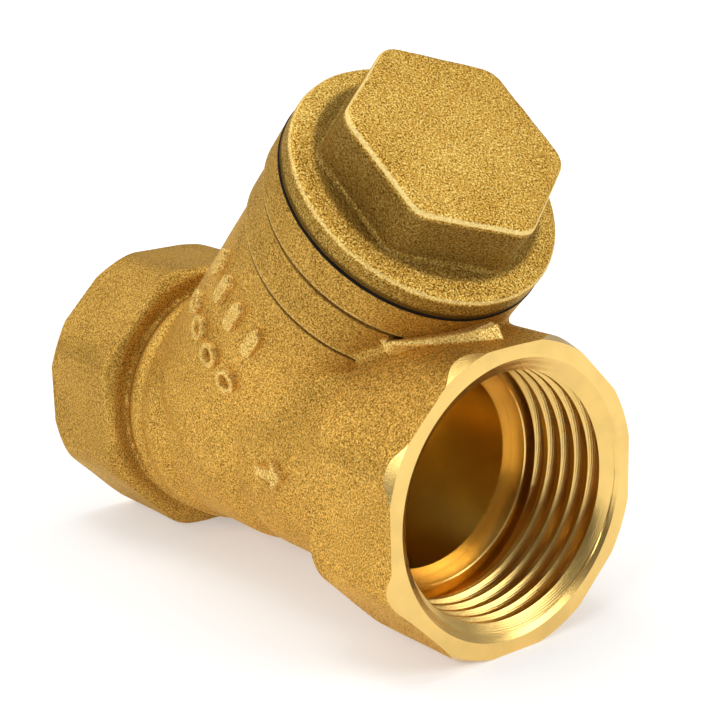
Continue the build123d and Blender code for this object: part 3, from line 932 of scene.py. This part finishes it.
def make_cap():
    """The forging with its underside cut flat, its threaded skirt and the pocket for the screen."""
    side = FLANGE_RADIUS + 0.5
    low = (-side, -side, FLANGE_UNDER - RAW_STOCK)
    high = (side, side, HEX_TOP + 0.5)
    cap = forged("cap_forging", cap_field, low, high, CAP_STEP, CAP_CAST, BRANCH)
    combine(cap, slab("under_flange", 20, FLANGE_UNDER, BRANCH, BRANCH_CUT), "DIFFERENCE")
    outline = [(0, SKIRT_END), (SKIRT_LEAD_RADIUS, SKIRT_END), (CAP_MAJOR, SKIRT_END + SKIRT_LEAD),
               (CAP_MAJOR, UNDERCUT_START), (UNDERCUT_RADIUS, UNDERCUT_FULL), (UNDERCUT_RADIUS, SKIRT_TOP),
               (0, SKIRT_TOP)]
    skirt = turned("skirt", outline, BRANCH, BRANCH_CUT)
    # The rod starts a whole pitch below the branch's thread, so that the two threads run in step.
    rod = threaded_rod("skirt_rod", SKIRT_MINOR, CAP_MAJOR - CAP_CLEARANCE, CAP_PITCH,
                       CAP_THREAD_START - CAP_PITCH, FLANGE_UNDER + 3, BRANCH, BRANCH_CUT)
    combine(skirt, rod, "INTERSECT")
    combine(cap, skirt, "UNION")
    pocket_start = SKIRT_END - 1
    pocket = [(0, pocket_start), (POCKET_RADIUS, pocket_start), (POCKET_RADIUS, POCKET_TOP),
              (RECESS_RADIUS, POCKET_TOP), (RECESS_RADIUS, RECESS_TOP), (0, RECESS_PEAK)]
    combine(cap, turned("pocket", pocket, BRANCH, BRANCH_CUT), "DIFFERENCE")
    make_piece(cap, "cap_forging", "cap", ["cap"])


def make_gasket():
    """A flat ring with round edges, whose outer edge stands just proud of the cap and the branch."""
    half = GASKET_THICKNESS / 2
    middle = SEAT_FACE + half
    outline = []
    for centre, side in ((GASKET_OUTER - half, 1), (GASKET_INNER + half, -1)):
        for turn in side * np.radians(np.linspace(-90, 90, 9)):
            outline.append((centre + side * half * math.cos(turn), middle + half * math.sin(turn)))
    ring = turned("gasket_ring", outline, BRANCH)
    make_piece(ring, "gasket_ring", "gasket", ["cap_gasket"], rubber, 60)


# ======================================== screen
class Sheet:
    """Points round the branch axis, each kept once, and the faces between them."""

    def __init__(self):
        self.points = []
        self.faces = []
        self.places = {}

    def corner(self, turn, along, radius):
        """The number of the point at this place. Places that differ by rounding only are one point."""
        full_turn = round(2 * math.pi * 1e5)
        key = (round(turn * 1e5) % full_turn, round(along * 1e4), round(radius * 1e4))
        if key not in self.places:
            self.places[key] = len(self.points)
            self.points.append((radius * math.cos(turn), radius * math.sin(turn), along))
        return self.places[key]

    def face(self, *corners):
        self.faces.append([self.corner(*corner) for corner in corners])

    def walls(self, outline):
        """The sheet's outer and inner face inside an outline of (turn, distance along) places."""
        self.face(*[(*place, SLEEVE_OUTER) for place in outline])
        self.face(*[(*place, SLEEVE_INNER) for place in reversed(outline)])

    def mesh(self, name):
        points = moved(self.points, BRANCH)
        return mesh_object(name, points, self.faces)


def perforated_cell(sheet, turn, width, low, height, solid):
    """One cell of the sleeve's sheet: a round hole in a small oblong, or the plain oblong."""
    quarters = [0, 0.25, 0.5, 0.75]
    rim = [(q, 0) for q in quarters] + [(1, q) for q in quarters]
    rim += [(1 - q, 1) for q in quarters] + [(0, 1 - q) for q in quarters]
    edge = [(turn + width * u, low + height * v) for u, v in rim]
    if solid:
        sheet.walls(edge)
        return
    hole = []
    for step in range(len(rim)):
        angle = math.radians(-135 + 360 * step / len(rim))
        hole.append((turn + width / 2 + SLEEVE_HOLE / SLEEVE_OUTER * math.cos(angle),
                     low + height / 2 + SLEEVE_HOLE * math.sin(angle)))
    for step in range(len(rim)):
        after = (step + 1) % len(rim)
        near, far = hole[step], hole[after]
        sheet.walls((edge[step], edge[after], far, near))
        sheet.face((*near, SLEEVE_OUTER), (*far, SLEEVE_OUTER), (*far, SLEEVE_INNER), (*near, SLEEVE_INNER))


def make_sleeve():
    """Perforated sheet rolled into a tube, with plain ends and a lapped seam."""
    sheet = Sheet()
    width = 2 * math.pi / SLEEVE_COLUMNS
    height = (SLEEVE_ROWS_END - SLEEVE_ROWS_START) / SLEEVE_ROWS
    for row in range(SLEEVE_ROWS):
        for column in range(SLEEVE_COLUMNS):
            turn = width * (column + (row % 2) / 2)
            off_seam = (turn + width / 2 - SEAM_TURN + math.pi) % (2 * math.pi) - math.pi
            perforated_cell(sheet, turn, width, SLEEVE_ROWS_START + row * height, height,
                            abs(off_seam) < SEAM_HALF_WIDTH + width)
    for step in range(4 * SLEEVE_COLUMNS):
        near, far = width * step / 4, width * (step + 1) / 4
        for low, high in ((SLEEVE_START, SLEEVE_ROWS_START), (SLEEVE_ROWS_END, SLEEVE_END)):
            sheet.walls([(near, low), (far, low), (far, high), (near, high)])
        for a, b, s in ((far, near, SLEEVE_START), (near, far, SLEEVE_END)):
            sheet.face((a, s, SLEEVE_OUTER), (b, s, SLEEVE_OUTER), (b, s, SLEEVE_INNER), (a, s, SLEEVE_INNER))
    lap_strip(sheet)
    make_piece(sheet.mesh("sleeve_sheet"), "sleeve_sheet", "screen", ["screen_sleeve"],
               sheet_steel)


def lap_strip(sheet):
    """The sheet's outer edge where it laps over its own start: a thin closed strip."""
    count = 12
    turns = [SEAM_TURN + SEAM_HALF_WIDTH * (2 * step / count - 1) for step in range(count + 1)]
    low, high = SLEEVE_ROWS_START + LAP_INSET, SLEEVE_ROWS_END - LAP_INSET
    under, over = SLEEVE_OUTER - LAP_INSET, SLEEVE_OUTER + LAP_WALL
    for near, far in zip(turns, turns[1:]):
        sheet.face((near, low, over), (far, low, over), (far, high, over), (near, high, over))
        sheet.face((near, high, under), (far, high, under), (far, low, under), (near, low, under))
        sheet.face((far, low, over), (near, low, over), (near, low, under), (far, low, under))
        sheet.face((near, high, over), (far, high, over), (far, high, under), (near, high, under))
    for turn, top, bottom in ((turns[0], low, high), (turns[-1], high, low)):
        sheet.face((turn, top, over), (turn, bottom, over), (turn, bottom, under), (turn, top, under))


def wire(points, faces, path, closed):
    """A thin four-sided wire through places given as turn, distance along, radius and runs upright or not."""
    base = len(points)
    for turn, along, radius, upright in path:
        side = WIRE_RADIUS / radius
        offsets = [(0, 0, WIRE_RADIUS), (side, 0, 0), (0, 0, -WIRE_RADIUS), (-side, 0, 0)]
        if not upright:
            offsets = [(0, 0, WIRE_RADIUS), (0, -WIRE_RADIUS, 0), (0, 0, -WIRE_RADIUS), (0, WIRE_RADIUS, 0)]
        for a, s, r in offsets:
            points.append(((radius + r) * math.cos(turn + a), (radius + r) * math.sin(turn + a), along + s))
    count = len(path)
    for step in range(count if closed else count - 1):
        here, there = base + 4 * step, base + 4 * ((step + 1) % count)
        for i in range(4):
            k = (i + 1) % 4
            faces.append([here + i, here + k, there + k, there + i])
    if not closed:
        last = base + 4 * (count - 1)
        faces.append([base + 3, base + 2, base + 1, base])
        faces.append([last, last + 1, last + 2, last + 3])


def make_liner():
    """The woven mesh: upright wires and hoops that pass over and under each other."""
    points = []
    faces = []
    hoops = [LINER_START + (LINER_END - LINER_START) * k / (LINER_HOOPS - 1) for k in range(LINER_HOOPS)]
    turns = [2 * math.pi * i / LINER_WIRES for i in range(LINER_WIRES)]

    def swing(i, k):
        return WIRE_SWING if (i + k) % 2 else -WIRE_SWING

    for i, turn in enumerate(turns):
        path = [(turn, along, LINER_RADIUS + swing(i, k), True) for k, along in enumerate(hoops)]
        wire(points, faces, path, False)
    for k, along in enumerate(hoops):
        path = [(turn, along, LINER_RADIUS - swing(i, k), False) for i, turn in enumerate(turns)]
        wire(points, faces, path, True)
    mesh = mesh_object("liner_mesh", moved(points, BRANCH), faces)
    make_piece(mesh, "liner_mesh", "screen", ["screen_liner"], wire_steel, 60)


make_body()
make_cap()
make_gasket()
make_sleeve()
make_liner()
for node in ("screen_lower_rim", "screen_upper_rim"):
    mesh = frame["nodes"][node].data
    mesh.materials.clear()
    mesh.materials.append(sheet_steel)


# ======================================== stage
# Each light: name, azimuth, elevation and width in degrees, strength.
LIGHTS = [("overhead", 300, 84, 32, 0.65), ("right_front", 119, 36, 34, 0.9), ("left", -71, 38, 44, 0.45),
          ("front_left", 23, 33, 14, 0.5), ("near_left", -16, 28, 36, 0.45)]
SKY_BASE = 0.30
SKY_GAINS = (-0.16, 0.12, 0.30)


def aim(azimuth, elevation, roll=0.0):
    """A rotation that looks down on the object: azimuth 0 looks along +Y, with +X to the right."""
    az, el, turn = (math.radians(angle) for angle in (azimuth, elevation, roll))
    back = Vector((math.sin(az) * math.cos(el), -math.cos(az) * math.cos(el), math.sin(el)))
    right = Vector((math.cos(az), math.sin(az), 0))
    up = back.cross(right)
    right, up = (math.cos(turn) * right + math.sin(turn) * up, -math.sin(turn) * right + math.cos(turn) * up)
    return Matrix([[right[i], up[i], back[i]] for i in range(3)]).to_4x4(), back


def add_camera():
    """A camera at the photograph's viewing angle, fitted to the object's outline and port rings."""
    lens = 84.4
    distance = 214.66
    target = Vector((46.35, 0.0, 10.90))
    rotation, back = aim(azimuth=52.508, elevation=15.308, roll=-1.567)
    data = bpy.data.cameras.new("camera")
    data.lens = lens
    data.sensor_width = 36.0
    data.clip_start = 0.01
    camera = bpy.data.objects.new("camera", data)
    camera.matrix_world = Matrix.Translation((target + back * distance) * MM) @ rotation
    bpy.context.scene.collection.objects.link(camera)
    bpy.context.scene.camera = camera


def add_sky_light(name, azimuth, elevation, width, strength):
    """A very soft distant light, so that the floor is evenly lit. Width is in degrees across."""
    rotation, _ = aim(azimuth, elevation)
    data = bpy.data.lights.new(name, "SUN")
    data.energy = strength
    data.angle = math.radians(width)
    light = bpy.data.objects.new(name, data)
    light.matrix_world = rotation
    bpy.context.scene.collection.objects.link(light)


def add_world():
    """A plain grey studio: dim in front of the object and near the horizon, bright behind and overhead."""
    world = bpy.data.worlds.new("studio")
    world.use_nodes = True
    tree = world.node_tree
    coordinates = tree.nodes.new("ShaderNodeTexCoord")
    split = tree.nodes.new("ShaderNodeSeparateXYZ")
    tree.links.new(coordinates.outputs["Generated"], split.inputs[0])
    total = SKY_BASE
    for axis, gain in enumerate(SKY_GAINS):
        node = tree.nodes.new("ShaderNodeMath")
        node.operation = "MULTIPLY_ADD"
        node.inputs[1].default_value = gain
        tree.links.new(split.outputs[axis], node.inputs[0])
        if axis:
            tree.links.new(total, node.inputs[2])
        else:
            node.inputs[2].default_value = total
        total = node.outputs[0]
    tree.links.new(total, tree.nodes["Background"].inputs["Strength"])
    tree.nodes["Background"].inputs["Color"].default_value = (1, 1, 1, 1)
    bpy.context.scene.world = world


def add_stage():
    """The pale floor, the world and the lights."""
    floor_size = 6.0
    bpy.ops.mesh.primitive_plane_add(size=floor_size, location=(0, 0, body_low.z))
    floor = bpy.context.object
    floor.name = "floor"
    n = Nodes("floor_paper")
    n.shader.inputs["Emission Color"].default_value = (1, 1, 1, 1)
    n.shader.inputs["Emission Strength"].default_value = 0.35
    floor.data.materials.append(n.finish((0.75, 0.75, 0.75), 0.9, None, 0.0))
    add_world()
    for light in LIGHTS:
        add_sky_light(*light)
    bpy.context.scene.view_settings.view_transform = "Standard"


add_camera()
add_stage()
